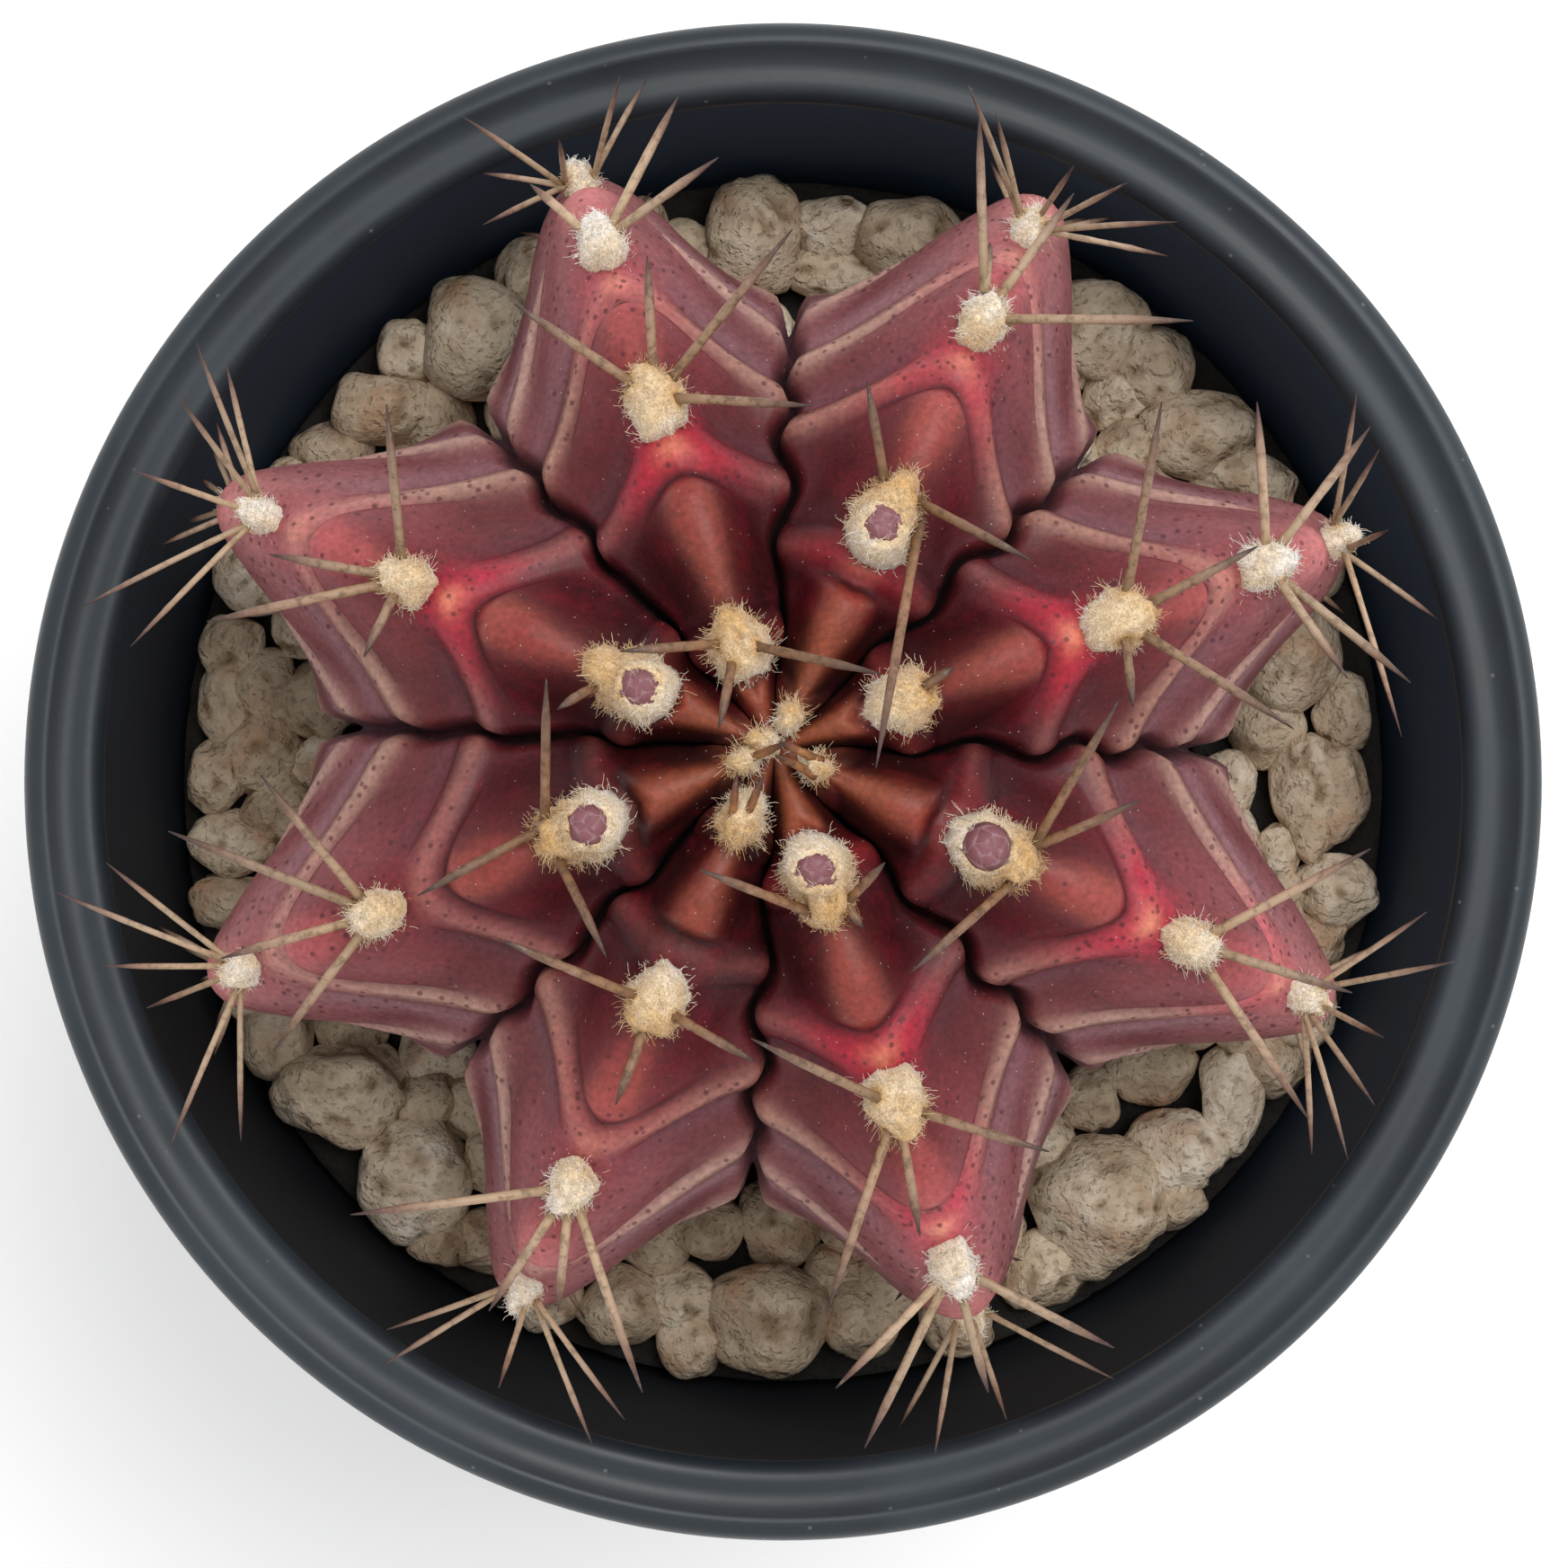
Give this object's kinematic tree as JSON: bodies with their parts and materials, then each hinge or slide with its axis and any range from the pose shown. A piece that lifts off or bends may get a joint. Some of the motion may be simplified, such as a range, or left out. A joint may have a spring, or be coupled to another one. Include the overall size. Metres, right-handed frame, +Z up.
{
  "type": "potted moon cactus",
  "caption": "Round nursery pot with a globe cactus: notched ribs with raised bands, wool tufts, fans of spines and small flower buds, on pumice stones.",
  "frame": {"origin": "the pot's axis at the level of its foot ring", "axes": "+Z up along the pot's axis, +Y towards the far side as seen from straight above with +X to the right"},
  "size_m": [0.076, 0.076, 0.0923],
  "materials": {
    "black_plastic": "satin black injection-moulded plastic, dusty inside",
    "potting_soil": "dark loose bark and peat mix",
    "pumice": "rough pitted beige-grey pumice",
    "cactus_skin": "waxy crimson skin with mauve valleys and tan speckled bands",
    "areole_wool": "cream felt with tan dark-tipped spines",
    "bud_scales": "dull purple-pink overlapping scales"
  },
  "bodies": {
    "root": {"areole_a1": "areole_wool", "areole_a2": "areole_wool", "areole_a3": "areole_wool", "areole_a4": "areole_wool", "areole_a5": "areole_wool", "areole_b2": "areole_wool", "areole_b3": "areole_wool", "areole_b4": "areole_wool", "areole_b5": "areole_wool", "areole_c1": "areole_wool", "areole_c2": "areole_wool", "areole_c3": "areole_wool", "areole_c4": "areole_wool", "areole_c5": "areole_wool", "areole_d2": "areole_wool", "areole_d3": "areole_wool", "areole_d4": "areole_wool", "areole_d5": "areole_wool", "areole_e1": "areole_wool", "areole_e2": "areole_wool", "areole_e3": "areole_wool", "areole_e4": "areole_wool", "areole_e5": "areole_wool", "areole_f1": "areole_wool", "areole_f2": "areole_wool", "areole_f3": "areole_wool", "areole_f4": "areole_wool", "areole_f5": "areole_wool", "areole_g2": "areole_wool", "areole_g3": "areole_wool", "areole_g4": "areole_wool", "areole_g5": "areole_wool", "areole_h2": "areole_wool", "areole_h3": "areole_wool", "areole_h4": "areole_wool", "areole_h5": "areole_wool", "cactus_body": "cactus_skin", "crown_wool": "areole_wool", "flower_bud_b": "bud_scales", "flower_bud_d": "bud_scales", "flower_bud_e": "bud_scales", "flower_bud_g": "bud_scales", "flower_bud_h": "bud_scales", "pot": "black_plastic", "potting_mix": "potting_soil", "pumice_topping": "pumice"}
  },
  "joints": []
}
